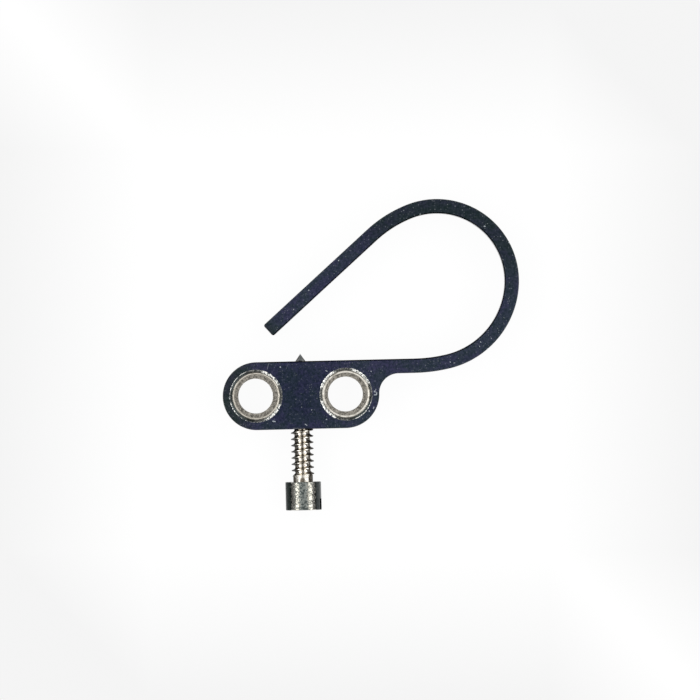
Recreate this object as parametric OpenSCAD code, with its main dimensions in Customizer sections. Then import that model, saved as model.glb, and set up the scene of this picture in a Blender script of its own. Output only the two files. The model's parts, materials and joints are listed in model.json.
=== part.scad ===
// Regulator spring for a small mechanical watch. A flat steel plate is screwed down through two
// holes, and a long springy arm, one piece with the plate, hooks round from its upper edge. A
// pointed adjusting screw threads through the plate, across its width, towards the arm.
//
// Frame: the origin is on the underside, midway between the two fixing holes. X runs along the
// hole line towards the arm, Y towards the screw's point, and Z up out of the polished face.

/* [Plate] */
// Length of the plate over its two round ends
plate_l = 3.76; // [3.6:0.02:4.6]
// Width of the plate, which the adjusting screw crosses
plate_w = 1.63; // [1.5:0.01:2.2]
// Thickness of the flat blank that plate and arm are cut from
blank_t = 0.95; // [0.85:0.05:1.4]
// Broken edge along the outline of both faces
edge_break = 0.03; // [0.01:0.005:0.05]

/* [Fixing holes] */
// Distance between the two fixing holes
hole_spacing = 2.16; // [2.05:0.01:2.4]
// Bore of each fixing hole
hole_d = 0.84; // [0.6:0.02:0.9]
// Depth of the matt floor below the polished face
sink_depth = 0.18; // [0.14:0.01:0.3]
// Width of the matt floor round the bore
floor_w = 0.09; // [0.04:0.01:0.1]
// Width of the bright cone round the floor
cone_w = 0.075; // [0.04:0.005:0.09]
// Slope of the bright cone
cone_angle = 30; // [15:5:45]
// Width of the polished chamfer at the mouth
mouth_w = 0.055; // [0.03:0.005:0.07]

/* [Arm] */
// Width of the arm, the same all along
arm_w = 0.345; // [0.24:0.005:0.44]
// Straight lead from the plate's end to the first bend
lead_l = 0.87; // [0.7:0.01:1.2]
// Radius of the corner where the arm leaves the plate's end
root_r = 0.47; // [0.2:0.01:0.5]
// Radius of the first, slack bend on the arm's middle line
slack_r = 3.8; // [3:0.1:5]
// Angle that the slack bend turns through
slack_angle = 12; // [6:1:18]
// Radius of the bend that goes up the far side
side_r = 2.0; // [1.7:0.05:2.4]
// Angle that the side bend turns through
side_angle = 71.5; // [66:0.5:76]
// Radius of the tightest bend, over the top
top_r = 1.8; // [1.6:0.05:2.1]
// Angle that the top bend turns through
top_angle = 117; // [112:0.5:122]
// Radius of the last bend, back towards the plate
back_r = 2.9; // [2.4:0.1:3.4]
// Angle that the last bend turns through
back_angle = 20.9; // [16:0.1:26]
// Straight free length of the arm after its last bend
free_l = 3.39; // [2.8:0.01:3.5]
// Corner radius of the free end
tip_r = 0.05; // [0.02:0.01:0.12]

/* [Adjusting screw] */
// Outside diameter of the thread
thread_d = 0.57; // [0.4:0.01:0.6]
// Pitch of the right-hand thread
pitch = 0.15; // [0.1:0.005:0.2]
// Diameter at the bottom of the thread
root_d = 0.37; // [0.28:0.01:0.38]
// Diameter of the plain neck under the head
neck_d = 0.47; // [0.39:0.01:0.55]
// Length of the plain neck
neck_l = 0.21; // [0.1:0.01:0.4]
// Free length of the screw from its head to the plate
stand_off = 1.27; // [1.1:0.01:1.6]
// How far the point stands out of the plate's upper edge
point_out = 0.16; // [0.05:0.01:0.3]
// Full angle of the point
point_angle = 70; // [50:2:90]
// Diameter of the head
head_d = 0.86; // [0.7:0.02:1]
// Height of the head
head_h = 0.68; // [0.5:0.01:0.9]
// Width of the driver slot
slot_w = 0.15; // [0.1:0.01:0.2]
// Depth of the driver slot
slot_depth = 0.27; // [0.15:0.01:0.35]
// Turn of the slot away from the plane of the plate
slot_turn = 14; // [-90:1:90]

/* [Clearances] */
// Gap between the thread's crest and the hole through the plate
thread_clear = 0.015; // [0.01:0.005:0.03]

/* [Hidden] */
// Cuts start this far outside the solid that they cut
over = 0.1;
plate_r = plate_w / 2;
// Centres of the plate's round ends
end_x = plate_l / 2 - plate_r;
// Inner edge and middle line of the arm's lead, whose outer edge continues the plate's
lead_in_y = plate_r - arm_w;
lead_y = plate_r - arm_w / 2;
// The corner circle touches the plate's round end and the arm's inner edge
corner_y = lead_in_y - root_r;
corner_x = end_x + sqrt(pow(plate_r + root_r, 2) - pow(corner_y, 2));
// The cutter for that corner goes this much further, so that it always meets both of them
cutter_reach = 0.0005;
// The arm's bends in order, each a radius and an angle
bends = [[slack_r, slack_angle], [side_r, side_angle], [top_r, top_angle], [back_r, back_angle]];
bend_start_x = plate_l / 2 + lead_l;
// Largest turn between two rows across the arm
step_angle = 3;
// Sizes of the sink round each fixing hole
bore_r = hole_d / 2;
floor_r = bore_r + floor_w;
wall_r = floor_r + cone_w;
mouth_r = wall_r + mouth_w;
cone_top = blank_t - sink_depth + cone_w * tan(cone_angle);
// The screw lies in the middle of the blank, along Y, and is drawn along Z from its head's end
screw_z = blank_t / 2;
shank_l = stand_off + plate_w + point_out;
screw_l = head_h + shank_l;
head_end_y = plate_r + point_out - screw_l;
head_break = 0.02;
thread_r = thread_d / 2;
// One pitch of the thread, each point an axial share of the pitch and a radius
ridge = [[0, thread_r], [0.08, thread_r], [0.36, root_d / 2], [0.72, root_d / 2]];
ridge_n = len(ridge);
turn_steps = 18;
thread_start = head_h + neck_l;
// The neck tapers down to the thread's root, and neck and thread run this far into each other
neck_taper = (neck_d - root_d) / 2;
seat = 0.02;
// The helix starts this many pitches below the thread, inside the neck
helix_lead = 2.12;
turns = ceil((shank_l - neck_l) / pitch + helix_lead);

// Direction of the arm's middle line where bend i starts, in degrees from X
function heading(i) = i == 0 ? 0 : heading(i - 1) + bends[i - 1][1];

// Unit vector that points to the left of a heading
function left_of(a) = [-sin(a), cos(a)];

// Centre of bend i, which lies to the left of the arm's middle line
function bend_centre(i) = bend_start(i) + bends[i][0] * left_of(heading(i));

// Point of the arm's middle line where bend i starts, or where the last bend ends
function bend_start(i) =
    i == 0 ? [bend_start_x, lead_y] : bend_centre(i - 1) - bends[i - 1][0] * left_of(heading(i));

// A row across the arm: a point of its middle line, its heading, its half width, and how far
// its faces lie inside the faces of the blank
function bend_row(i, a) =
    [bend_centre(i) - bends[i][0] * left_of(heading(i) + a), heading(i) + a, arm_w / 2, 0];

// Row across the straight free end, at a distance along it
function end_row(along, half_w) =
    let (a = heading(len(bends)))
    [bend_start(len(bends)) + along * [cos(a), sin(a)], a, half_w,
     max(0, edge_break - (free_l - along))];

// Corner points of a row's cross-section, with its four long edges broken
corners = 8;
function row_points(row) =
    let (h = row[2], b = edge_break, low = row[3], high = blank_t - row[3])
    [for (c = [[b - h, low], [h - b, low], [h, low + b], [h, high - b],
               [h - b, high], [b - h, high], [-h, high - b], [-h, low + b]])
        concat(row[0] + c[0] * left_of(row[1]), c[1])];

// Two triangles for the four-cornered patch a, b, c, d
function patch(a, b, c, d) = [[a, b, c], [a, c, d]];

// Straight strip of the blank along X, between two values of Y, with its long edges broken
module strip(x0, x1, y0, y1) {
    b = edge_break;
    translate([x0, 0, 0])
        rotate([90, 0, 90])
            linear_extrude(x1 - x0)
                polygon([[y0 + b, 0], [y1 - b, 0], [y1, b], [y1, blank_t - b],
                         [y1 - b, blank_t], [y0 + b, blank_t], [y0, blank_t - b], [y0, b]]);
}

// Round end of the plate, with its edges broken
module round_end() {
    b = edge_break;
    rotate_extrude($fn = 96)
        polygon([[0, 0], [plate_r - b, 0], [plate_r, b], [plate_r, blank_t - b],
                 [plate_r - b, blank_t], [0, blank_t]]);
}

// Web between the plate's round end and the arm, cut hollow by a flared cutter that leaves the
// same broken edges
module arm_root() {
    b = edge_break;
    r = root_r + cutter_reach;
    difference() {
        intersection() {
            strip(end_x, corner_x, -plate_w, plate_r);
            linear_extrude(blank_t)
                polygon([[end_x, 0], [corner_x, corner_y], [corner_x, plate_r], [end_x, plate_r]]);
        }
        translate([corner_x, corner_y, 0])
            rotate_extrude($fn = 96)
                polygon([[0, -over], [r + b + over, -over], [r, b], [r, blank_t - b],
                         [r + b + over, blank_t + over], [0, blank_t + over]]);
    }
}

// Arm of constant width, swept along its middle line from inside the plate to its free end
module arm() {
    rows = concat(
        [[[end_x, lead_y], 0, arm_w / 2, 0]],
        [for (i = [0 : len(bends) - 1])
            let (n = ceil(bends[i][1] / step_angle))
            for (k = [0 : n - 1]) bend_row(i, bends[i][1] * k / n)],
        [end_row(0, arm_w / 2)],
        [for (a = [0 : 22.5 : 90])
            end_row(free_l - tip_r * (1 - sin(a)), arm_w / 2 - tip_r * (1 - cos(a)))]);
    points = [for (row = rows) each row_points(row)];
    n = corners;
    sides = [for (k = [0 : len(rows) - 2], c = [0 : n - 1])
        let (a = n * k + c, d = n * k + (c + 1) % n)
        each patch(a, a + n, d + n, d)];
    first = [for (c = [0 : n - 1]) c];
    final = [for (c = [n - 1 : -1 : 0]) n * (len(rows) - 1) + c];
    polyhedron(points, concat(sides, [first, final]));
}

// Everything that a fixing hole takes away: bore, matt floor, bright cone, wall and chamfer
module sunk_hole() {
    rotate_extrude($fn = 96)
        polygon([[0, -over], [bore_r, -over], [bore_r, blank_t - sink_depth],
                 [floor_r, blank_t - sink_depth], [wall_r, cone_top],
                 [wall_r, blank_t - mouth_w], [mouth_r + over, blank_t + over],
                 [0, blank_t + over]]);
}

// Plate and arm, cut from one flat blank
module spring_plate() {
    color([0.15, 0.17, 0.24])
        difference() {
            union() {
                strip(-end_x, end_x, -plate_r, plate_r);
                for (side = [-1, 1])
                    translate([side * end_x, 0, 0]) round_end();
                arm_root();
                arm();
            }
            for (side = [-1, 1])
                translate([side * hole_spacing / 2, 0, 0]) sunk_hole();
            translate([0, plate_r + over, screw_z])
                rotate([90, 0, 0])
                    cylinder(r = thread_r + thread_clear, h = plate_w + 2 * over, $fn = 64);
        }
}

// Point p of the thread's ridge after k steps round the screw
function thread_point(k, p) =
    let (a = 360 * k / turn_steps, z = pitch * (k / turn_steps + ridge[p][0]))
    [ridge[p][1] * cos(a), ridge[p][1] * sin(a), z];

// Threaded rod along Z, with one closed helical surface and a cone-shaped cap at each end
module threaded_rod() {
    n = turn_steps;
    steps = n * turns;
    last = (steps + 1) * ridge_n;
    points = concat(
        [for (k = [0 : steps], p = [0 : ridge_n - 1]) thread_point(k, p)],
        [[0, 0, -pitch], [0, 0, pitch * (turns + 1)]]);
    flanks = [for (k = [0 : steps - 1], p = [0 : ridge_n - 2])
        each patch(k * ridge_n + p, k * ridge_n + p + 1,
                   (k + 1) * ridge_n + p + 1, (k + 1) * ridge_n + p)];
    joins = [for (k = [0 : steps - n - 1])
        each patch(k * ridge_n + ridge_n - 1, (k + n) * ridge_n,
                   (k + n + 1) * ridge_n, (k + 1) * ridge_n + ridge_n - 1)];
    foot = concat(
        [for (k = [0 : n - 1]) [last, k * ridge_n, (k + 1) * ridge_n]],
        [[last, n * ridge_n, ridge_n - 1]],
        [for (p = [ridge_n - 1 : -1 : 1]) [last, p, p - 1]]);
    top_k = steps - n;
    top = concat(
        [for (k = [top_k : steps - 1])
            [last + 1, (k + 1) * ridge_n + ridge_n - 1, k * ridge_n + ridge_n - 1]],
        [for (p = [ridge_n - 1 : -1 : 1])
            [last + 1, steps * ridge_n + p - 1, steps * ridge_n + p]],
        [[last + 1, top_k * ridge_n + ridge_n - 1, steps * ridge_n]]);
    polyhedron(points, concat(flanks, joins, foot, top));
}

// Outline of the pointed, threaded end, which trims the rod to length
module point_outline() {
    tall = thread_r + over;
    rotate_extrude($fn = 96)
        polygon([[0, thread_start - seat], [tall, thread_start - seat],
                 [tall, screw_l - tall / tan(point_angle / 2)], [0, screw_l]]);
}

// Adjusting screw with its slotted cylinder head, plain neck, thread and point
module adjusting_screw() {
    color([0.72, 0.71, 0.66])
        translate([0, head_end_y, screw_z])
            rotate([-90, 0, 0]) {
                difference() {
                    rotate_extrude($fn = 96)
                        polygon([[0, 0], [head_d / 2 - head_break, 0], [head_d / 2, head_break],
                                 [head_d / 2, head_h - head_break],
                                 [head_d / 2 - head_break, head_h], [neck_d / 2, head_h],
                                 [neck_d / 2, thread_start - neck_taper],
                                 [root_d / 2 - seat, thread_start + seat],
                                 [0, thread_start + seat]]);
                    rotate([0, 0, -slot_turn])
                        translate([-head_d, -slot_w / 2, -over])
                            cube([2 * head_d, slot_w, slot_depth + over]);
                }
                intersection() {
                    translate([0, 0, thread_start - helix_lead * pitch]) threaded_rod();
                    point_outline();
                }
            }
}

spring_plate();
adjusting_screw();
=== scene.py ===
# %% [markdown]
# Regulator spring of a small watch
#
# The real part is a flat plate of hardened steel, polished and blued almost black, with one long
# springy arm cut from the same blank. Two sunk holes take the screws that hold it down, and a
# pointed adjusting screw passes through its width. This lesson loads the measured solids as a
# fixed frame and models the two pieces again round them, with the edges, the fine thread and the
# surface finish that a close photograph shows.

# %% Load the measured part
import json
import math

import bmesh
import bpy
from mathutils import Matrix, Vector


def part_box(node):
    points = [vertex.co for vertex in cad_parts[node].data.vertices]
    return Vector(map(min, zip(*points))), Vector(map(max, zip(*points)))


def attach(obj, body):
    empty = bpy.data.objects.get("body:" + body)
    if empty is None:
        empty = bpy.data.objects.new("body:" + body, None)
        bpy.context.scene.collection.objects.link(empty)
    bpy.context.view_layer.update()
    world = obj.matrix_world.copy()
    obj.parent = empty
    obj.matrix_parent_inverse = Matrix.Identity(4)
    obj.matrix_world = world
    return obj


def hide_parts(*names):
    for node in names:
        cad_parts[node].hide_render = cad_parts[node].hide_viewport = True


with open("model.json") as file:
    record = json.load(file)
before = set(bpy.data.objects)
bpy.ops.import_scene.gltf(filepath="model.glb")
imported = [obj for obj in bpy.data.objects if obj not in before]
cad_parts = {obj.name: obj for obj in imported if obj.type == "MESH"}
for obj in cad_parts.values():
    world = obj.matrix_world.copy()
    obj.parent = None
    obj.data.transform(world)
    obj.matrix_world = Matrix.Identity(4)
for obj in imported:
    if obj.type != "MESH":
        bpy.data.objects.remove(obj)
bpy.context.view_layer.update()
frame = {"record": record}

MM = 0.001

# %% [markdown]
# The camera
#
# The photograph was taken from straight above and from far away, so no side wall shows. A camera
# over the middle of the picture with a very long lens gives the same view: the far camera keeps
# the walls edge on, and the long lens brings the part back to its size in the picture. The plate
# lies turned by a little over a degree in the picture, so the camera is turned the other way.

# %% Camera over the part
picture_w = 16.8
picture_middle = Vector((1.200, 1.056))
picture_turn = 1.345
lens, sensor = 500.0, 36.0
blank_t = (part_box("spring_plate")[1].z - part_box("spring_plate")[0].z) / MM
camera_height = blank_t + picture_w * lens / sensor

camera_data = bpy.data.cameras.new("camera_above")
camera_data.lens = lens
camera_data.sensor_width = sensor
camera_data.clip_start = 10 * MM
camera_data.clip_end = 10.0
camera = bpy.data.objects.new("camera_above", camera_data)
bpy.context.scene.collection.objects.link(camera)
camera.location = (picture_middle.x * MM, picture_middle.y * MM, camera_height * MM)
camera.rotation_euler = (0, 0, math.radians(-picture_turn))
bpy.context.scene.camera = camera
print("camera", round(camera_height, 1), "mm above the bench")

# %% [markdown]
# Shader nodes in words
#
# A finish is a small chain of shader nodes. These helpers add one node at a time and plug values
# or other nodes into it, so that each finish below reads as a recipe. All patterns start from the
# object's own coordinates in millimetres, so they stay on the metal when it moves.

# %% Helpers for single nodes
def plug(material, socket, value):
    """Gives a socket another node's output or a plain value."""
    if isinstance(value, bpy.types.NodeSocket):
        material.node_tree.links.new(value, socket)
    else:
        socket.default_value = value


def add_node(material, kind, inputs=None, **settings):
    """Adds one node, with its settings and its inputs by name or number."""
    node = material.node_tree.nodes.new(kind)
    for name, value in settings.items():
        setattr(node, name, value)
    for key, value in (inputs or {}).items():
        plug(material, node.inputs[key], value)
    return node


def calc(material, operation, *values, clamp=False):
    """One step of arithmetic."""
    node = add_node(material, "ShaderNodeMath", dict(enumerate(values)), operation=operation,
                    use_clamp=clamp)
    return node.outputs[0]


def vector_calc(material, operation, *values, output=0):
    """One step of arithmetic on places and directions."""
    node = add_node(material, "ShaderNodeVectorMath", dict(enumerate(values)), operation=operation)
    return node.outputs[output]


def ramp(material, value, low, high, to_low=0.0, to_high=1.0):
    """Smooth step: to_low below low, to_high above high."""
    node = add_node(material, "ShaderNodeMapRange",
                    {"Value": value, "From Min": low, "From Max": high, "To Min": to_low,
                     "To Max": to_high}, interpolation_type="SMOOTHSTEP")
    return node.outputs["Result"]


def blend(material, share, first, second):
    """Mixes two colours; share 0 is the first."""
    node = add_node(material, "ShaderNodeMix", data_type="RGBA")
    for index, value in ((0, share), (6, first), (7, second)):
        plug(material, node.inputs[index], value)
    return node.outputs[2]


def noise(material, place, size, detail=3.0, rough=0.55):
    """Cloudy noise whose blotches are about size millimetres across."""
    node = add_node(material, "ShaderNodeTexNoise",
                    {"Vector": place, "Scale": 1 / size, "Detail": detail, "Roughness": rough})
    return node.outputs["Fac"]


def patches(material, place, size, low, high, detail=3.0, rough=0.55):
    """Patches about size millimetres across: the noise's levels from low to high become 0 to 1."""
    return ramp(material, noise(material, place, size, detail, rough), low, high)


def millimetres(material):
    """The place on the piece, in millimetres."""
    place = add_node(material, "ShaderNodeTexCoord").outputs["Object"]
    node = add_node(material, "ShaderNodeVectorMath", {0: place, "Scale": 1 / MM}, operation="SCALE")
    return node.outputs[0]


def axes_of(material, place):
    """The three coordinates of a place."""
    return add_node(material, "ShaderNodeSeparateXYZ", {0: place}).outputs


print("node helpers ready")

# %% Helpers for finishes
white = (1, 1, 1, 1)
# Shares of a mark's width, from its middle, between which it fades
nick_fade = (0.25, 0.6)


def specks(material, place, spacing, radius, share, faint, bright):
    """Dust: one round speck in a share of the cells of a cell pattern, faint or bright."""
    cells = add_node(material, "ShaderNodeTexVoronoi", {"Vector": place, "Scale": 1 / spacing})
    near = ramp(material, cells.outputs["Distance"], 0.5 * radius / spacing, radius / spacing, 1, 0)
    luck = axes_of(material, cells.outputs["Color"])
    chosen = calc(material, "LESS_THAN", luck[0], share)
    pale = ramp(material, luck[1], 0.0, 1.0, faint, bright)
    return calc(material, "MULTIPLY", calc(material, "MULTIPLY", near, chosen), pale)


def nick(material, place, start, end, width, bright):
    """A short bright mark between two points of the top face, which fades at its sides."""
    along = Vector((end[0] - start[0], end[1] - start[1], 0))
    offset = vector_calc(material, "SUBTRACT", place, (start[0], start[1], blank_t))
    dot = vector_calc(material, "DOT_PRODUCT", offset, along / along.length_squared, output=1)
    share = calc(material, "MAXIMUM", calc(material, "MINIMUM", dot, 1.0), 0.0)
    scaled = add_node(material, "ShaderNodeVectorMath", {0: tuple(along), "Scale": share},
                      operation="SCALE").outputs[0]
    away = vector_calc(material, "LENGTH", vector_calc(material, "SUBTRACT", offset, scaled), output=1)
    return ramp(material, away, *[part * width for part in nick_fade], bright, 0)


def start_finish(name):
    """A new material with its shader and the place on the piece."""
    material = bpy.data.materials.new(name)
    material.use_nodes = True
    return material, material.node_tree.nodes["Principled BSDF"], millimetres(material)


def set_metal(material, shader, colour, roughness, metallic=1.0):
    """Gives a shader its colour, its roughness and its share of metal."""
    plug(material, shader.inputs["Base Color"], colour)
    plug(material, shader.inputs["Roughness"], roughness)
    shader.inputs["Metallic"].default_value = metallic


def set_bump(material, shader, height, strength, depth):
    """Lets a pattern tilt the shading, as if it stood depth millimetres proud."""
    bump = add_node(material, "ShaderNodeBump",
                    {"Height": height, "Strength": strength, "Distance": depth * MM})
    plug(material, shader.inputs["Normal"], bump.outputs["Normal"])


print("finish helpers ready")

# %% [markdown]
# Light
#
# Polished steel is seen by what it mirrors. The tent round the part is a little dimmer straight
# overhead, where the camera looks through it, and falls off to dark towards the horizon, so the
# flat polished face looks even and deep and round parts get dark sides. Two strip lights beside the
# part draw the two bright streaks along the screw, and four low boxes at the corners give the
# chamfers their bright sectors. All of it together lights a white card to about white.

# %% Tent and lamps
lamps = {"strip": {"places": ((0, 45), (180, 41)), "w": 1.1, "h": 0.36, "level": 2.3},
         "box": {"places": ((40, 58), (135, 58), (230, 58), (318, 58)), "w": 0.80, "h": 0.30,
                 "level": 1.8}}
lamp_away = 1.0
tent_top, tent_ring, tent_foot = 0.60, 0.82, 0.12
# Where the tent's level changes, as heights on a tent of radius one
foot_heights, top_heights = (0.44, 0.64), (0.955, 0.985)

for kind, lamp in lamps.items():
    for azimuth, tilt in lamp["places"]:
        light = bpy.data.lights.new(f"{kind}_{azimuth}", "AREA")
        light.shape = "RECTANGLE"
        light.size, light.size_y = lamp["w"], lamp["h"]
        light.energy = math.pi * lamp["w"] * lamp["h"] * lamp["level"]
        holder = bpy.data.objects.new(light.name, light)
        bpy.context.scene.collection.objects.link(holder)
        down, facing = math.radians(tilt), math.radians(azimuth)
        towards = Vector((math.cos(facing) * math.sin(down), math.sin(facing) * math.sin(down),
                          math.cos(down)))
        holder.location = towards * lamp_away
        holder.rotation_mode = "QUATERNION"
        holder.rotation_quaternion = towards.to_track_quat("Z", "Y")

tent = bpy.data.worlds.new("tent")
bpy.context.scene.world = tent
tent.use_nodes = True
tent_height = axes_of(tent, add_node(tent, "ShaderNodeTexCoord").outputs["Generated"])[2]
tent_shader = tent.node_tree.nodes["Background"]
tent_shader.inputs["Color"].default_value = white
plug(tent, tent_shader.inputs["Strength"], calc(
    tent, "MULTIPLY", ramp(tent, tent_height, *top_heights, tent_ring, tent_top),
    ramp(tent, tent_height, *foot_heights, tent_foot / tent_ring, 1.0)))
bpy.context.scene.view_settings.view_transform = "Standard"
print("lamps:", [light.name for light in bpy.data.lights])

# %% [markdown]
# Blued steel
#
# The faces are ground flat, polished and then heated or blackened, which leaves a thin, dark film
# of blue-black oxide on a mirror. A metal shader with a very dark blue colour does that. The film
# is never even: it is navy between the sinks, grey-green at the plate's far end and teal over the
# top of the arm, small patches lean to violet or to teal, and the broken edges are paler. On top
# lie dust, which shows as pale specks, and a few short scratches where bare steel shines through.

# %% Colours and reaches of the blued film
deep_navy = (0.0240, 0.0335, 0.069, 1)
pale_navy = (0.0470, 0.0580, 0.101, 1)
end_grey = (0.0380, 0.0500, 0.062, 1)
arm_teal = (0.0315, 0.0430, 0.061, 1)
tip_green = (0.0360, 0.0470, 0.060, 1)
grain_low = (0.64, 0.76, 0.70, 1)
grain_high = (1.36, 1.24, 1.31, 1)
violet_cast = (1.10, 0.965, 1.10, 1)
teal_cast = (0.94, 1.035, 0.87, 1)
edge_tone = (1.6, 1.5, 1.2, 1)
dust = (0.56, 0.60, 0.62, 1)
# The direction to the arm's top, the place of its free end, and where its far bend lies along X
up_the_arm, free_end, far_bend = (0.25, 1, 0), (-0.85, 1.48), (2.6, 3.6)
# Distances in millimetres over which the film goes from each colour to the next
navy_reach, end_reach, top_reach, tip_reach = (0.4, 1.8), (0.9, 1.7), (3.3, 4.9), (0.15, 0.55)
bend_cast = 0.25
# Depths below the face between which the paler rim begins and stops, and the dust thins out
rim_begins, rim_stops, dust_depths = (0.05, 0.03), (0.014, 0.004), (0.08, 0.04)
# Dust: spacing and radius, the share of cells with a speck, and the faintest and brightest
fine_dust = (0.050, 0.016, 0.65, 0.03, 0.28)
coarse_dust = (0.180, 0.020, 0.5, 0.20, 0.95)
dust_reach = (0.4, 1.6)
dust_on_walls, dust_in_middle, dust_on_bend = 0.3, 0.55, 1.15
mirror_rough, dull_rough = 0.14, 0.22
print("the film goes from navy to pale navy over", navy_reach, "mm from the middle")

# %% Marks on the polished face
# In millimetres, each a start, an end and a width, and then a brightness
plate_marks = [((-0.760, 0.770), (-0.800, 0.640), 0.013, 0.36),
               ((-0.290, 0.760), (-0.345, 0.635), 0.011, 0.20),
               ((-0.690, -0.610), (-0.640, -0.616), 0.030, 1.0),
               ((1.802, 0.105), (1.784, 0.065), 0.018, 0.5),
               ((1.760, 0.058), (1.764, 0.034), 0.024, 1.0),
               ((1.788, 0.041), (1.819, 0.009), 0.020, 0.8),
               ((1.819, 0.009), (1.811, -0.027), 0.026, 1.0),
               ((1.760, -0.031), (1.806, -0.034), 0.026, 1.0),
               ((1.727, -0.362), (1.745, -0.330), 0.024, 0.9),
               ((0.590, -0.600), (0.605, -0.592), 0.022, 0.8),
               ((0.610, 0.575), (0.640, 0.560), 0.020, 0.8),
               ((1.690, 0.540), (1.697, 0.530), 0.022, 0.8),
               ((0.085, -0.700), (0.125, -0.730), 0.020, 0.7),
               ((-1.720, -0.010), (-1.720, -0.050), 0.016, 0.9),
               ((-0.200, -0.800), (0.090, -0.806), 0.036, 0.6),
               ((4.337, 1.180), (4.343, 1.168), 0.024, 1.0),
               ((4.312, 1.072), (4.316, 1.062), 0.022, 0.5),
               ((4.594, 1.262), (4.600, 1.252), 0.022, 0.5),
               ((3.593, 0.716), (3.601, 0.706), 0.024, 0.7),
               ((3.685, 0.683), (3.710, 0.688), 0.026, 0.4)]
print(len(plate_marks), "scratches and chips")


# %% Blued steel finish
def below_face(depths):
    """The heights of two depths below the polished face."""
    return [blank_t - depth for depth in depths]


def film_colour(material, place, cloud, from_middle):
    """The blue-black film, which changes from place to place."""
    x, _, z = axes_of(material, place)
    film = blend(material, ramp(material, from_middle, *navy_reach), deep_navy, pale_navy)
    to_far_end = calc(material, "SUBTRACT", cloud, x)
    film = blend(material, ramp(material, to_far_end, *end_reach), film, end_grey)
    along_arm = vector_calc(material, "DOT_PRODUCT", place, up_the_arm, output=1)
    at_top = ramp(material, calc(material, "ADD", along_arm, cloud), *top_reach)
    film = blend(material, at_top, film, arm_teal)
    from_tip = vector_calc(material, "DISTANCE", place, (*free_end, blank_t), output=1)
    at_tip = ramp(material, calc(material, "ADD", from_tip, cloud), *tip_reach, 1, 0)
    film = blend(material, at_tip, film, tip_green)
    cast = patches(material, place, size=0.45, low=0.38, high=0.62, detail=4.0)
    cast = calc(material, "ADD", cast, ramp(material, x, *far_bend, 0, bend_cast), clamp=True)
    film = vector_calc(material, "MULTIPLY", film, blend(material, cast, violet_cast, teal_cast))
    rim = calc(material, "MULTIPLY", ramp(material, z, *below_face(rim_begins)),
               ramp(material, z, *below_face(rim_stops), 1, 0))
    film = vector_calc(material, "MULTIPLY", film, blend(material, rim, white, edge_tone))
    grain = patches(material, place, size=0.060, low=0.40, high=0.60, detail=4.0, rough=0.8)
    return vector_calc(material, "MULTIPLY", film, blend(material, grain, grain_low, grain_high))


def face_marks(material, place, from_middle):
    """Dust and scratches: less dust on the walls and between the sinks, a little more on the bend."""
    x, _, z = axes_of(material, place)
    marks = calc(material, "MAXIMUM", specks(material, place, *fine_dust),
                 specks(material, place, *coarse_dust))
    for share in (ramp(material, z, *below_face(dust_depths), dust_on_walls, 1),
                  ramp(material, from_middle, *dust_reach, dust_in_middle, 1),
                  ramp(material, x, *far_bend, 1, dust_on_bend)):
        marks = calc(material, "MULTIPLY", marks, share)
    for start, end, width, bright in plate_marks:
        marks = calc(material, "MAXIMUM", marks, nick(material, place, start, end, width, bright))
    return marks


def blued_steel():
    """Polished steel under a dark film, with dust and a few scratches."""
    material, shader, place = start_finish("blued_steel")
    cloud = calc(material, "SUBTRACT", noise(material, place, size=0.8), 0.5)
    from_middle = calc(material, "ADD", vector_calc(material, "LENGTH", place, output=1), cloud)
    film = film_colour(material, place, cloud, from_middle)
    marks = face_marks(material, place, from_middle)
    gloss = ramp(material, noise(material, place, size=0.5), 0.3, 0.7, mirror_rough, dull_rough)
    set_metal(material, shader, blend(material, marks, film, dust),
              calc(material, "MAXIMUM", gloss, marks, clamp=True))
    return material


blued = blued_steel()
print("blued steel with", len(blued.node_tree.nodes), "nodes")

# %% [markdown]
# Polished and matt rings in the sinks
#
# Each screw sink was turned after the face was polished, so its metal is bare. From the face inwards
# it has a chamfer, polished bright but flecked, with one arc painted dark as shade, a steep wall
# painted nearly black as shade, a cream-coloured cone, painted as shade at its foot in one sink and
# painted paler as a highlight in the other, and the matt floor that the screw head presses on, with
# a mottled grey-brown skin. Each of the four gets its own metal, and the colours change with the
# distance and direction from the sink's axis.

# %% Ring finishes
hole_mounts = [m for m in frame["record"]["mounts"] if m["name"].startswith("fixing_hole")]
hole_places = [m["pos_m"][0] / MM for m in hole_mounts]
# Arcs of the chamfers painted dark as shade: a sink, a direction in degrees, half the arc and the arc's
# rim
shaded_arcs = [(0, 185, 82, 0.622), (1, -42, 42, 0.616)]
rim_blur, arc_blur, middle_blur = 0.008, 0.1, 0.1
chamfer_bright, chamfer_shade = (0.58, 0.58, 0.55, 1), (0.035, 0.042, 0.042, 1)
cone_shade, cone_cream = (0.34, 0.315, 0.27, 1), (0.90, 0.85, 0.75, 1)
# The near sink's cone is painted paler as a highlight
cone_highlight, cone_dull = (0.95, 0.91, 0.82, 1), (0.46, 0.43, 0.37, 1)
# Distances from the far sink's axis between which its cone turns from shade to cream
cream_radii = (0.530, 0.545)
floor_brown, floor_grey = (0.095, 0.087, 0.073, 1), (0.40, 0.375, 0.328, 1)
# Painted shade: the near-black of the steep walls, with grey patches
wall_shade, wall_grey = (0.016, 0.018, 0.018, 1), (0.12, 0.12, 0.11, 1)


def sink_spoke(material, place, number):
    """The arrow from a sink's axis to the place, level with the face."""
    offset = vector_calc(material, "SUBTRACT", place, (hole_places[number], 0, 0))
    return vector_calc(material, "MULTIPLY", offset, (1, 1, 0))


def direction(degrees):
    """The level arrow of length one that points this many degrees round from X."""
    return Vector((math.cos(math.radians(degrees)), math.sin(math.radians(degrees)), 0))


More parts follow.
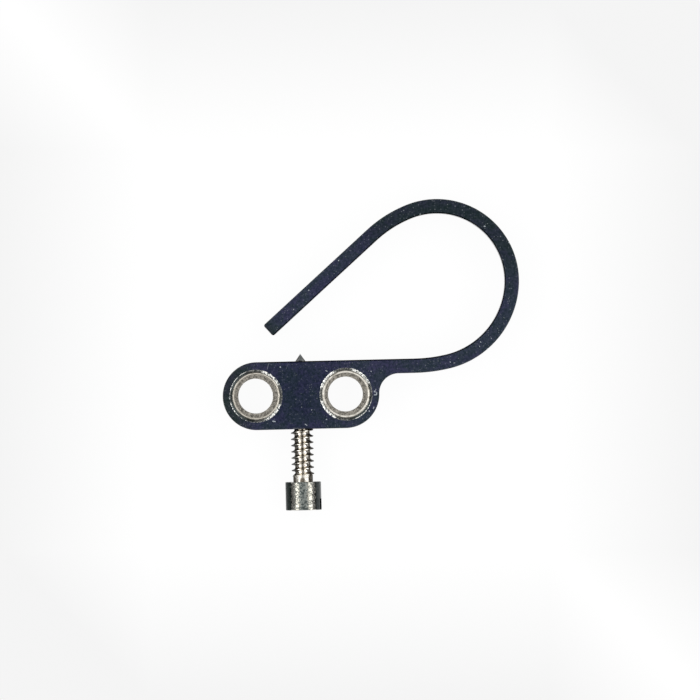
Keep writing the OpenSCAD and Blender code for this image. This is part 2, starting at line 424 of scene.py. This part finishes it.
def polished_steel():
    """The chamfers: bright, flecked with dark, and painted dark as shade over one arc each."""
    material, shader, place = start_finish("polished_steel")
    dark = patches(material, place, size=0.030, low=0.46, high=0.55, rough=0.7)
    for number, degrees, half_arc, rim in shaded_arcs:
        spoke = sink_spoke(material, place, number)
        facing = vector_calc(material, "DOT_PRODUCT", vector_calc(material, "NORMALIZE", spoke),
                             direction(degrees), output=1)
        edge = math.cos(math.radians(half_arc))
        radius = vector_calc(material, "LENGTH", spoke, output=1)
        inside = ramp(material, radius, rim, rim + rim_blur, 1, 0)
        on_arc = ramp(material, facing, edge - arc_blur, edge + arc_blur)
        dark = calc(material, "MAXIMUM", dark, calc(material, "MULTIPLY", inside, on_arc))
    set_metal(material, shader, blend(material, dark, chamfer_bright, chamfer_shade),
              ramp(material, dark, 0, 1, 0.07, 0.25))
    return material


def cone_steel():
    """The cones: cream, painted paler as a highlight in the near sink and painted as shade at the foot
    of the far one.
    """
    material, shader, place = start_finish("cone_steel")
    cloud = patches(material, place, size=0.10, low=0.44, high=0.62, detail=4.0)
    radius = vector_calc(material, "LENGTH", sink_spoke(material, place, 0), output=1)
    far_cone = blend(material, ramp(material, radius, *cream_radii), cone_shade, cone_cream)
    near_share = ramp(material, axes_of(material, place)[0], -middle_blur, middle_blur)
    clear = blend(material, near_share, far_cone, cone_highlight)
    set_metal(material, shader, blend(material, cloud, clear, cone_dull),
              ramp(material, cloud, 0, 1, 0.16, 0.30))
    return material


def matt_steel():
    """The floors: a mottled, grainy skin."""
    material, shader, place = start_finish("matt_steel")
    cloud = patches(material, place, size=0.050, low=0.38, high=0.62, detail=4.0, rough=0.75)
    set_metal(material, shader, blend(material, cloud, floor_brown, floor_grey),
              ramp(material, cloud, 0, 1, 0.5, 0.7), metallic=0.6)
    set_bump(material, shader, noise(material, place, size=0.03), strength=0.5, depth=0.01)
    return material


def shaded_wall_steel():
    """The steep walls: painted nearly black as shade, with grey patches."""
    material, shader, place = start_finish("shaded_wall_steel")
    cloud = patches(material, place, size=0.12, low=0.42, high=0.62)
    set_metal(material, shader, blend(material, cloud, wall_shade, wall_grey),
              ramp(material, cloud, 0, 1, 0.3, 0.5), metallic=0.8)
    return material


ring_finishes = [polished_steel(), cone_steel(), matt_steel(), shaded_wall_steel()]
print("ring finishes:", [finish.name for finish in ring_finishes])

# %% [markdown]
# Bare steel of the screw
#
# The screw is turned from bar and left bare. Its top side is satin, with small pits, and its flanks
# are painted dark, as painted shade and dark reflection. The painted shade follows the angle round
# the screw's axis, so that angle is worked out from the place. Between the top and the painted shade
# the head has a painted highlight band. A thin painted dark reflection runs along the top of the
# thread, and a painted line of shade lies above each crest: it winds with the thread, so it is found
# from the place along the axis less the angle's share of one pitch.

# %% Measures and colours of the screw
plate_mid_z = blank_t / 2
pitch, thread_r, crest_r = 0.15, 0.285, 0.270
head_end_y, head_h, neck_l = -2.765, 0.68, 0.21
head_top_y = head_end_y + head_h
thread_y = head_top_y + neck_l
# The winding starts this many pitches before the thread does
early_pitches = 2.08
crest_first = thread_y - early_pitches * pitch

# Angles in radians to either side of the screw's top, between which one finish gives way to the next
top_reflection_edge, cream_edge, highlight_band_edge, side_shade_edge = (0.07, 0.15), (0.12, 0.30), (0.46, 0.58), (0.70, 0.84)
# Shares of a pitch above a crest between which the painted line of shade begins and stops
crest_shade_begins, crest_shade_stops = (0.07, 0.11), (0.17, 0.23)
# Angles of the painted dark reflection along the top of the thread: its middle, its lean on the
# neck, its widening by the head and its narrowing higher up the neck
top_reflection_middle, neck_lean, foot_wide, neck_narrow = 0.02, 0.08, 0.12, 0.08
# Angles of the top side: its middle on the thread and on the neck, how much closer the painted side
# shade comes on the head and the neck, and how far its edge wanders
thread_middle, neck_middle, side_shade_closer, wander_by = 0.03, -0.12, 0.06, 0.06
# Places along the screw: the painted top reflection's foot, the neck's upper half, the plate, the point
top_reflection_foot, neck_upper = (-2.04, -1.98), (-2.02, -1.97)
plate_near, point_begins = (-0.93, -0.88), (0.79, 0.83)
head_blur, thread_blur = 0.005, 0.01
flank_radii, crest_radii = (0.205, 0.225), (crest_r - 0.017, crest_r - 0.005)
# Each tone of the steel is a colour for its skin and a darker one for its pits
tones = {"cream": ((0.42, 0.405, 0.35, 1), (0.12, 0.125, 0.115, 1)),
         "cold": ((0.365, 0.395, 0.37, 1), (0.10, 0.12, 0.115, 1)),
         # Painted highlight: the bright band on the head
         "highlight band": ((0.88, 0.86, 0.79, 1), (0.52, 0.52, 0.47, 1)),
         "thread": ((0.80, 0.76, 0.69, 1), (0.58, 0.54, 0.48, 1)),
         "shiny": ((0.86, 0.83, 0.76, 1), (0.60, 0.57, 0.51, 1)),
         # Painted shade: the three tones of the flanks, darker on the head's left than on its right
         "warm side shade": ((0.140, 0.126, 0.108, 1), (0.055, 0.050, 0.042, 1)),
         "green side shade": ((0.026, 0.034, 0.032, 1), (0.012, 0.016, 0.015, 1)),
         "blue side shade": ((0.048, 0.056, 0.057, 1), (0.024, 0.030, 0.031, 1))}
# Painted dark reflection along the thread's top, painted shade above each crest, and the point's grey
dark_top_reflection, crest_shade_colour, point_grey = (0.20, 0.175, 0.14, 1), (0.13, 0.115, 0.10, 1), (0.15, 0.16, 0.16, 1)
# Painted shade near the thread's crests, darker on the left; then the dimmed reflection tint of the
# shaded sides
left_flank_shade, right_flank_shade = (0.050, 0.046, 0.040, 1), (0.105, 0.096, 0.084, 1)
dimmed_reflection_tint = (0.45, 0.45, 0.45, 1)
skin_rough, pit_rough, neck_rough = 0.11, 0.20, 0.22
# Fewer pits on the right of the top, over these places along X
fewer_pits_x, fewer_pits = (0.05, 0.12), 0.025
# The outline starts a quarter turn from the top, and ten whole turns keep the sum positive
phase_turns = 10.25
print("the winding starts at y", round(crest_first, 3), "mm")


# %% Bare steel finish
def screw_zones(material, place):
    """Where a place lies on the screw: its part, its side, its radius, its angle and its pits."""
    x, y, z = axes_of(material, place)
    zone = {"x": x, "y": y}
    zone["head"] = ramp(material, y, head_top_y - head_blur, head_top_y + head_blur, 1, 0)
    zone["off thread"] = ramp(material, y, thread_y - thread_blur, thread_y + thread_blur, 1, 0)
    zone["neck"] = calc(material, "SUBTRACT", zone["off thread"], zone["head"])
    zone["right"] = ramp(material, x, -middle_blur, middle_blur)
    spoke = vector_calc(material, "MULTIPLY", vector_calc(
        material, "SUBTRACT", place, (0, 0, plate_mid_z)), (1, 0, 1))
    zone["radius"] = vector_calc(material, "LENGTH", spoke, output=1)
    angle = calc(material, "ARCTAN2", x, calc(material, "SUBTRACT", z, plate_mid_z))
    turns_up = calc(material, "DIVIDE", calc(material, "SUBTRACT", y, crest_first), pitch)
    turns_round = calc(material, "DIVIDE", angle, 2 * math.pi)
    winding_turns = calc(material, "SUBTRACT", turns_up, turns_round)
    zone["phase"] = calc(material, "FRACT", calc(material, "ADD", winding_turns, phase_turns))
    wander = ramp(material, noise(material, place, size=0.07), 0.3, 0.7, -wander_by, wander_by)
    zone["angle"] = calc(material, "ADD", angle, wander)
    grain = noise(material, place, size=0.042, detail=2.0, rough=0.7)
    grain = calc(material, "SUBTRACT", grain, ramp(material, x, *fewer_pits_x, 0, fewer_pits))
    zone["pits"] = ramp(material, grain, 0.46, 0.54)
    return zone


def pitted(material, zone, name):
    """One tone of the steel with its pits."""
    return blend(material, zone["pits"], *tones[name])


def top_reflection_line(material, zone):
    """The painted dark reflection along the top of the thread, wider where it meets the head."""
    middle = calc(material, "SUBTRACT", top_reflection_middle, calc(material, "MULTIPLY", zone["neck"], neck_lean))
    away = calc(material, "ABSOLUTE", calc(material, "SUBTRACT", zone["angle"], middle))
    away = calc(material, "SUBTRACT", away, ramp(material, zone["y"], *top_reflection_foot, foot_wide, 0))
    neck_top = calc(material, "MULTIPLY", zone["neck"], ramp(material, zone["y"], *neck_upper))
    away = calc(material, "ADD", away, calc(material, "MULTIPLY", neck_top, neck_narrow))
    return calc(material, "SUBTRACT", ramp(material, away, *top_reflection_edge, 1, 0), zone["head"], clamp=True)


def crest_shade_line(material, zone):
    """The painted line of shade above each crest, which stops short of the plate."""
    line = calc(material, "MULTIPLY", ramp(material, zone["phase"], *crest_shade_begins),
                ramp(material, zone["phase"], *crest_shade_stops, 1, 0))
    line = calc(material, "SUBTRACT", line, zone["off thread"], clamp=True)
    return calc(material, "MULTIPLY", line, ramp(material, zone["y"], *plate_near, 1, 0))


def top_side_steel(material, zone, side):
    """The top side: head bands with a painted highlight, thread with painted dark lines, and the point.
    """
    head_tone = blend(material, ramp(material, side, *cream_edge),
                      pitted(material, zone, "cold"), pitted(material, zone, "cream"))
    # Painted highlight: a bright band on the head between its top and its painted side shade
    head_tone = blend(material, ramp(material, side, *highlight_band_edge), head_tone,
                      pitted(material, zone, "highlight band"))
    shiny = calc(material, "MAXIMUM", zone["neck"], ramp(material, zone["radius"], *crest_radii))
    thread_tone = blend(material, shiny, pitted(material, zone, "thread"),
                        pitted(material, zone, "shiny"))
    thread_tone = blend(material, top_reflection_line(material, zone), thread_tone, dark_top_reflection)
    thread_tone = blend(material, crest_shade_line(material, zone), thread_tone, crest_shade_colour)
    clean = blend(material, zone["head"], thread_tone, head_tone)
    return blend(material, ramp(material, zone["y"], *point_begins), clean, point_grey)


def side_shade_steel(material, zone):
    """The flanks, painted dark as shade: warm on the thread, green to blue on the head."""
    crest = calc(material, "SUBTRACT", ramp(material, zone["radius"], *flank_radii),
                 zone["off thread"], clamp=True)
    flank = blend(material, zone["right"], left_flank_shade, right_flank_shade)
    warm = blend(material, crest, pitted(material, zone, "warm side shade"), flank)
    cold = blend(material, zone["right"], pitted(material, zone, "green side shade"),
                 pitted(material, zone, "blue side shade"))
    return blend(material, zone["head"], warm, cold)


def bare_steel():
    """Turned steel, bare on its top side and painted dark as shade on its flanks."""
    material, shader, place = start_finish("bare_steel")
    zone = screw_zones(material, place)
    middle = calc(material, "ADD", calc(material, "MULTIPLY", zone["neck"], neck_middle),
                  ramp(material, zone["head"], 0, 1, thread_middle, 0))
    side = calc(material, "ABSOLUTE", calc(material, "SUBTRACT", zone["angle"], middle))
    closer = calc(material, "MULTIPLY", zone["off thread"], side_shade_closer)
    # film here is the share of painted side shade on the flanks, by the angle round the axis
    film = ramp(material, calc(material, "ADD", side, closer), *side_shade_edge)
    # The painted side shade also dims the tint of the reflections: fully on the thread and neck, half
    # on the head's left, and not at all on its right
    undimmed_share = ramp(material, zone["x"], -middle_blur, middle_blur, 0.5, 1)
    undimmed_side = calc(material, "MULTIPLY", zone["head"], undimmed_share)
    side_reflection_dimming = calc(material, "MULTIPLY", film, calc(material, "SUBTRACT", 1.0, undimmed_side))
    plug(material, shader.inputs["Specular Tint"], blend(material, side_reflection_dimming, white, dimmed_reflection_tint))
    roughness = calc(material, "ADD", ramp(material, zone["pits"], 0, 1, skin_rough, pit_rough),
                     ramp(material, zone["neck"], 0, 1, 0, neck_rough))
    set_metal(material, shader, blend(material, film, top_side_steel(material, zone, side),
                                      side_shade_steel(material, zone)), roughness)
    set_bump(material, shader, zone["pits"], strength=0.3, depth=0.002)
    return material


bare = bare_steel()
print("bare steel with", len(bare.node_tree.nodes), "nodes")

# %% [markdown]
# Drawing with a pen
#
# The plate and its arm are one outline cut through a flat blank, so the outline is drawn first.
# A plane merged to a single point is the pen. Extruding the point draws a straight line, and
# spinning it round a centre draws an arc, which is how a draughtsman would set out the same part
# with a rule and a compass. The pieces are drawn in millimetres and scaled at the end, because
# a part this small is smaller than Blender's usual merging distances.

# %% The pen
arc_step = 2.0
# Points that lie closer together than this many millimetres are one point
same_place = 0.0002
# How far a test reaches past the edge that it looks for, and how well the pen meets its start
hair = 0.001
pen = {"at": Vector((0, 0, 0)), "heading": 0.0}


def to_object_mode():
    """Leaves edit mode and deselects everything."""
    if bpy.context.mode != "OBJECT":
        bpy.ops.object.mode_set(mode="OBJECT")
    bpy.ops.object.select_all(action="DESELECT")


def start_pen(name, x, y):
    """A new piece with one point, in edit mode."""
    to_object_mode()
    bpy.ops.mesh.primitive_plane_add(size=1, location=(x, y, 0))
    bpy.ops.object.transform_apply(location=True, rotation=False, scale=False)
    piece = bpy.context.object
    piece.name = piece.data.name = name
    bpy.ops.object.mode_set(mode="EDIT")
    bpy.ops.mesh.select_mode(type="VERT")
    bpy.ops.mesh.select_all(action="SELECT")
    bpy.ops.mesh.merge(type="CENTER")
    pen["at"], pen["heading"] = Vector((x, y, 0)), 0.0
    return piece


def straight(length):
    """Draws a line straight ahead."""
    step = length * direction(pen["heading"])
    bpy.ops.mesh.extrude_vertices_move(TRANSFORM_OT_translate={"value": tuple(step)})
    pen["at"] = pen["at"] + step


def turn(radius, degrees):
    """Draws an arc, to the left for positive degrees and to the right for negative ones."""
    side = 90 if degrees > 0 else -90
    centre = pen["at"] + radius * direction(pen["heading"] + side)
    bpy.ops.mesh.spin(steps=max(2, math.ceil(abs(degrees) / arc_step)), angle=math.radians(degrees),
                      center=tuple(centre), axis=(0, 0, -1))
    pen["at"] = centre - radius * direction(pen["heading"] + degrees + side)
    pen["heading"] += degrees


def line_to(x, y):
    """Draws a line to a point."""
    step = Vector((x, y, 0)) - pen["at"]
    pen["heading"] = math.degrees(math.atan2(step.y, step.x))
    straight(step.length)


def pick(piece, kind, test):
    """Selects only the vertices, edges or faces that pass a test, in edit mode."""
    bpy.ops.mesh.select_mode(type=kind)
    bpy.ops.mesh.select_all(action="DESELECT")
    mesh = bmesh.from_edit_mesh(piece.data)
    found = 0
    for item in {"VERT": mesh.verts, "EDGE": mesh.edges, "FACE": mesh.faces}[kind]:
        if test(item):
            item.select_set(True)
            found += 1
    bmesh.update_edit_mesh(piece.data)
    return found


def close_shell(piece):
    """Merges doubles and turns all faces outwards."""
    bpy.ops.mesh.select_mode(type="VERT")
    bpy.ops.mesh.select_all(action="SELECT")
    bpy.ops.mesh.remove_doubles(threshold=same_place)
    bpy.ops.mesh.normals_make_consistent(inside=False)
    to_object_mode()


def carve(piece, tool, operation="DIFFERENCE"):
    """Cuts, joins or trims a piece with another and removes the tool."""
    to_object_mode()
    bpy.context.view_layer.objects.active = piece
    modifier = piece.modifiers.new("carve", "BOOLEAN")
    modifier.operation = operation
    modifier.solver = "EXACT"
    modifier.object = tool
    bpy.ops.object.modifier_apply(modifier=modifier.name)
    bpy.data.objects.remove(tool, do_unlink=True)


def finish_piece(piece, smooth_angle):
    """Scales a piece from millimetres to metres and smooths its round faces."""
    to_object_mode()
    piece.select_set(True)
    bpy.context.view_layer.objects.active = piece
    bpy.ops.object.transform_apply(location=True, rotation=True, scale=True)
    piece.scale = (MM, MM, MM)
    bpy.ops.object.transform_apply(location=True, rotation=True, scale=True)
    bpy.ops.object.shade_smooth_by_angle(angle=math.radians(smooth_angle))


print("pen ready")

# %% [markdown]
# Plate and arm
#
# The plate has two round ends. The arm starts along its upper edge, bends up, over the top and
# back towards the plate in four arcs, and ends square. The outline runs once round all of it:
# along the bottom, round the right end, out along one side of the arm and back along the other.

# %% Outline of the blank
plate_l, plate_w = 3.76, 1.63
plate_r = plate_w / 2
end_x = plate_l / 2 - plate_r
arm_w = 0.345
lead_l, root_r = 0.87, 0.47
bends = [(3.8, 12.0), (2.0, 71.5), (1.8, 117.0), (2.9, 20.9)]
free_l, tip_r = 3.39, 0.05
edge_break = 0.03
lead_in_y = plate_r - arm_w
corner_y = lead_in_y - root_r
corner_x = end_x + math.sqrt((plate_r + root_r) ** 2 - corner_y ** 2)
corner_turn = 90 + math.degrees(math.atan2(corner_y, corner_x - end_x))

spring = start_pen("regulator_spring", -end_x, -plate_r)
straight(2 * end_x)
turn(plate_r, corner_turn)
turn(root_r, -corner_turn)
straight(plate_l / 2 + lead_l - corner_x)
for radius, degrees in bends:
    turn(radius + arm_w / 2, degrees)
straight(free_l - tip_r)
turn(tip_r, 90)
straight(arm_w - 2 * tip_r)
turn(tip_r, 90)
straight(free_l - tip_r)
for radius, degrees in reversed(bends):
    turn(radius - arm_w / 2, -degrees)
straight(plate_l / 2 + lead_l + end_x)
turn(plate_r, 180)
print("the pen ends", round((pen["at"] - Vector((-end_x, -plate_r, 0))).length, 4), "mm from its start")

# %% Blank with broken edges
bpy.ops.mesh.select_all(action="SELECT")
bpy.ops.mesh.remove_doubles(threshold=hair)
bpy.ops.mesh.edge_face_add()
bpy.ops.mesh.extrude_region_move(TRANSFORM_OT_translate={"value": (0, 0, blank_t)})
close_shell(spring)
bpy.context.view_layer.objects.active = spring
bpy.ops.object.mode_set(mode="EDIT")
rims = pick(spring, "EDGE", lambda edge: edge.verts[0].co.z == edge.verts[1].co.z)
bpy.ops.mesh.bevel(offset=edge_break, offset_type="OFFSET", segments=1, affect="EDGES")
to_object_mode()
print("edges broken:", rims, "faces:", len(spring.data.polygons))

# %% [markdown]
# Screw sinks and cross hole
#
# A lathe tool is drawn as half an outline and spun once round its axis. Each sink's tool has the
# bore, the matt floor, the bright cone, a steep dark wall and the polished chamfer at the mouth.
# The bore's edge is drawn a little ragged, as drilling leaves it, and the bore lies a hair off the
# sink's centre, as in the photograph. The cross hole for the screw gets a small countersink at both
# ends. The tools are then subtracted from the blank.

# %% Lathe tools
over = 0.1
lathe_steps = 128
bore_r = hole_mounts[0]["dims"]["r_mm"]
sink_depth, floor_w, cone_w, wall_w, mouth_w = 0.18, 0.098, 0.036, 0.022, 0.058
floor_r = bore_r + floor_w
cone_r = floor_r + cone_w
wall_r = cone_r + wall_w
mouth_r = wall_r + mouth_w
cone_slope, mouth_slopes = 16, (32, 28)
cone_rise = cone_w * math.tan(math.radians(cone_slope))
bore_break, bore_off = 0.02, 0.016
ragged_by, ragged_seeds = 0.006, (3, 8)


def spin_tool():
    """Spins the drawn half outline once round the Y axis."""
    bpy.ops.mesh.select_all(action="SELECT")
    bpy.ops.mesh.spin(steps=lathe_steps, angle=math.radians(360), center=(0, 0, 0),
                      axis=(0, 1, 0))
    bpy.ops.mesh.select_all(action="SELECT")


def sink_tool(name, x, seed):
    """Cutter for one sink, its axis upright at a place on X and its bore a little ragged."""
    mouth_step = mouth_w / len(mouth_slopes)
    rises = [mouth_step * math.tan(math.radians(slope)) for slope in mouth_slopes]
    mouth = [(wall_r + step * mouth_step, blank_t - sum(rises[step:]))
             for step in range(len(mouth_slopes) + 1)]
    outline = [(bore_r + bore_break + over, -over), (bore_r, bore_break),
               (bore_r, blank_t - sink_depth), (floor_r, blank_t - sink_depth),
               (cone_r, blank_t - sink_depth + cone_rise), *mouth,
               (mouth_r, blank_t + over), (0, blank_t + over)]
    tool = start_pen(name, 0, -over)
    for point in outline:
        line_to(*point)
    spin_tool()
    bpy.ops.mesh.remove_doubles(threshold=same_place)
    bpy.ops.mesh.normals_make_consistent(inside=False)
    pick(tool, "VERT", lambda v: v.co.y < blank_t - sink_depth + hair
         and (v.co.y < hair or math.hypot(v.co.x, v.co.z) < bore_r + bore_break + hair))
    bpy.ops.transform.translate(value=(-bore_off, 0, 0))
    ragged = pick(tool, "VERT", lambda v: v.co.y > bore_break + hair
                  and abs(math.hypot(v.co.x + bore_off, v.co.z) - bore_r) < hair)
    bpy.ops.transform.vertex_random(offset=ragged_by, seed=seed)
    to_object_mode()
    tool.rotation_euler = (math.radians(90), 0, 0)
    tool.location = (x, 0, 0)
    print(name, "has", len(tool.data.polygons), "faces and", ragged, "ragged points")
    return tool


for number, (x, seed) in enumerate(zip(hole_places, ragged_seeds)):
    carve(spring, sink_tool(f"sink_tool_{number}", x, seed))

# %% Cross hole
thread_clear, sink_in = 0.015, 0.03
cross_r = thread_r + thread_clear
cross_tool = start_pen("cross_tool", 0, -plate_r - over)
for point in [(cross_r + sink_in + over, -plate_r - over), (cross_r, -plate_r + sink_in),
              (cross_r, plate_r - sink_in), (cross_r + sink_in + over, plate_r + over),
              (0, plate_r + over)]:
    line_to(*point)
spin_tool()
close_shell(cross_tool)
cross_tool.location = (0, 0, plate_mid_z)
carve(spring, cross_tool)
print("plate cut:", len(spring.data.polygons), "faces")

# %% Finish by place
# The distances from a sink's axis between which each ring lies, in the order of the ring finishes
ring_reaches = [(wall_r, mouth_r), (floor_r, cone_r), (0, floor_r), (cone_r, wall_r)]


def from_axis(point):
    """Distance of a point from the nearest sink's axis."""
    return min(math.hypot(point.x - x, point.y) for x in hole_places)


def in_sink(face, low, high):
    """Whether a face lies inside a sink, between two distances from its axis."""
    middle = face.calc_center_median()
    furthest = max(from_axis(v.co) for v in face.verts)
    return low < from_axis(middle) < high and furthest < mouth_r + hair


for finish in [blued, *ring_finishes]:
    spring.data.materials.append(finish)
bpy.context.view_layer.objects.active = spring
bpy.ops.object.mode_set(mode="EDIT")
for slot_number, (finish, (low, high)) in enumerate(zip(ring_finishes, ring_reaches), start=1):
    found = pick(spring, "FACE", lambda face: in_sink(face, low, high))
    spring.active_material_index = slot_number
    bpy.ops.object.material_slot_assign()
    print(finish.name, "on", found, "faces")
close_shell(spring)
finish_piece(spring, smooth_angle=18)
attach(spring, "plate")
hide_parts("spring_plate")

# %% [markdown]
# Adjusting screw
#
# The screw is turned between centres, so its head and neck are one lathe outline. The thread is a
# single groove that winds round the core: one pitch of its outline, wound up by a Screw modifier.
# Its crests are a little lower than the measured solid's, as the close photograph shows them. The
# wound rod is cut flat inside the neck and trimmed to a point by a cone, and the driver slot is
# sawn across the head with a box.

# %% Thread
core_r, neck_r, head_r = 0.185, 0.235, 0.43
tip_y = 0.990
point_angle = 70.0
thread_steps, spare_turns = 60, 2
spare_l = 0.5 * pitch
# One pitch of the thread from crest to crest: a share of the pitch and a share of its depth
thread_outline = [(0.000, 1.00), (0.050, 1.00), (0.080, 0.86), (0.130, 0.64), (0.190, 0.43),
                  (0.260, 0.25), (0.340, 0.11), (0.420, 0.04), (0.500, 0.00), (0.730, 0.00),
                  (0.790, 0.05), (0.835, 0.17), (0.870, 0.36), (0.900, 0.60), (0.925, 0.86),
                  (0.945, 1.00), (1.000, 1.00)]

rod = start_pen("rod", crest_r, crest_first)
for share, depth in thread_outline[1:]:
    line_to(core_r + depth * (crest_r - core_r), crest_first + share * pitch)
to_object_mode()
winding = rod.modifiers.new("winding", "SCREW")
winding.axis = "Y"
winding.angle = math.radians(360)
winding.screw_offset = pitch
winding.steps = winding.render_steps = thread_steps
winding.iterations = math.ceil((tip_y - crest_first) / pitch) + spare_turns
winding.use_merge_vertices = True
winding.merge_threshold = same_place
bpy.context.view_layer.objects.active = rod
bpy.ops.object.modifier_apply(modifier=winding.name)
bpy.ops.object.mode_set(mode="EDIT")
bpy.ops.mesh.select_all(action="SELECT")
bpy.ops.mesh.remove_doubles(threshold=same_place)
for cut_y, at_point in ((thread_y - spare_l, False), (tip_y + spare_l, True)):
    bpy.ops.mesh.select_all(action="SELECT")
    bpy.ops.mesh.bisect(plane_co=(0, cut_y, 0), plane_no=(0, 1, 0), use_fill=True,
                        clear_inner=not at_point, clear_outer=at_point)
close_shell(rod)
print("thread wound:", len(rod.data.polygons), "faces")

# %% Head, neck and point
head_break = 0.02
# The neck runs in to a stub that is a little thinner than the core and ends just inside the thread
run_in_l, stub_less, stub_l = 0.05, 0.01, 0.01
head = start_pen("adjusting_screw_turned", 0, head_end_y)
straight(head_r - head_break)
turn(head_break, 90)
straight(head_h - 2 * head_break)
turn(head_break, 90)
line_to(neck_r, head_end_y + head_h)
line_to(neck_r, thread_y - run_in_l)
line_to(core_r - stub_less, thread_y + stub_l)
line_to(0, thread_y + stub_l)
spin_tool()
close_shell(head)

slot_w, slot_depth, slot_turn = 0.15, 0.27, 14.0
saw_y = head_end_y + (slot_depth - over) / 2
bpy.ops.mesh.primitive_cube_add(size=1, location=(0, saw_y, 0))
saw = bpy.context.object
saw.scale = (4 * head_r, slot_depth + over, slot_w)
saw.rotation_euler = (0, math.radians(-slot_turn), 0)
carve(head, saw)

point_tool = start_pen("point_tool", 0, thread_y - pitch)
tool_r = thread_r + over
shoulder_y = tip_y - tool_r / math.tan(math.radians(point_angle / 2))
for point in [(tool_r, thread_y - pitch), (tool_r, shoulder_y), (0, tip_y)]:
    line_to(*point)
spin_tool()
close_shell(point_tool)
carve(rod, point_tool, "INTERSECT")
carve(head, rod, "UNION")
head.location = (0, 0, plate_mid_z)
head.data.materials.append(bare)
bpy.context.view_layer.objects.active = head
bpy.ops.object.mode_set(mode="EDIT")
close_shell(head)
finish_piece(head, smooth_angle=30)
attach(head, "screw")
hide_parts("adjusting_screw")
print("screw turned:", len(head.data.polygons), "faces")

# %% [markdown]
# Bench
#
# The part lies on a plain white card. The card is a little less than white where the part keeps
# light from it, so a soft shadow stays, and most of its white is shown straight to the camera and
# to the metal, so that it stays clean inside the two holes. Its margin is painted grey towards the
# edges of the picture, a painted fall-off of the light, but not towards two of the corners, as in
# the photograph. A camera under the card looks through it, and the card lies a hair below the part,
# so that the two never share a plane.

# %% White card
card_half, card_gap = 300.0, 0.002
lit_share = 0.05
# The painted fall-off of light in the margin starts this far from the picture's middle, greys over
# this width and by this share
pale_from, pale_over, pale_drop = 4.8, 3.6, 0.105
to_object_mode()
bpy.ops.mesh.primitive_plane_add(size=2 * card_half * MM, location=(0, 0, -card_gap * MM))
card = bpy.context.object
card.name = card.data.name = "white_card"
card_finish, card_shader, card_place = start_finish("white_card")
card_shader.inputs["Base Color"].default_value = (lit_share,) * 3 + (1,)
card_shader.inputs["Roughness"].default_value = 1.0
card_shader.inputs["Specular IOR Level"].default_value = 0.0
card_shader.inputs["Emission Color"].default_value = white
from_middle = vector_calc(card_finish, "SUBTRACT", card_place, (*picture_middle, 0))
turned = math.radians(picture_turn)


def margin_share(*axis):
    """How far a place lies in the picture's margin along an axis, from -1 to 1."""
    far = vector_calc(card_finish, "DOT_PRODUCT", from_middle, (*axis, 0), output=1)
    beyond = [calc(card_finish, "DIVIDE", calc(card_finish, "SUBTRACT", calc(
        card_finish, "MULTIPLY", far, sign), pale_from), pale_over, clamp=True) for sign in (1, -1)]
    return calc(card_finish, "SUBTRACT", *beyond)


# Painted fall-off of light: the card's white dims towards the picture's edges
across = margin_share(math.cos(turned), -math.sin(turned))
upward = margin_share(math.sin(turned), math.cos(turned))
greyness = calc(card_finish, "MINIMUM", calc(card_finish, "ABSOLUTE", calc(
    card_finish, "ADD", across, upward)), 1.0)
paleness = calc(card_finish, "SUBTRACT", 1.0, calc(card_finish, "MULTIPLY", greyness, pale_drop))
light_path = add_node(card_finish, "ShaderNodeLightPath").outputs
shown = calc(card_finish, "MAXIMUM", light_path["Is Camera Ray"],
             calc(card_finish, "MAXIMUM", light_path["Is Glossy Ray"],
                  light_path["Is Transmission Ray"]))
plug(card_finish, card_shader.inputs["Emission Strength"], calc(
    card_finish, "MULTIPLY", calc(card_finish, "MULTIPLY", shown, paleness), 1 - lit_share))
from_behind = calc(card_finish, "MULTIPLY", light_path["Is Camera Ray"],
                   add_node(card_finish, "ShaderNodeNewGeometry").outputs["Backfacing"])
clear = add_node(card_finish, "ShaderNodeBsdfTransparent").outputs[0]
card_mix = add_node(card_finish, "ShaderNodeMixShader",
                    {0: from_behind, 1: card_shader.outputs[0], 2: clear}).outputs[0]
plug(card_finish, card_finish.node_tree.nodes["Material Output"].inputs["Surface"], card_mix)
card.data.materials.append(card_finish)
print("white card", 2 * card_half, "mm wide")
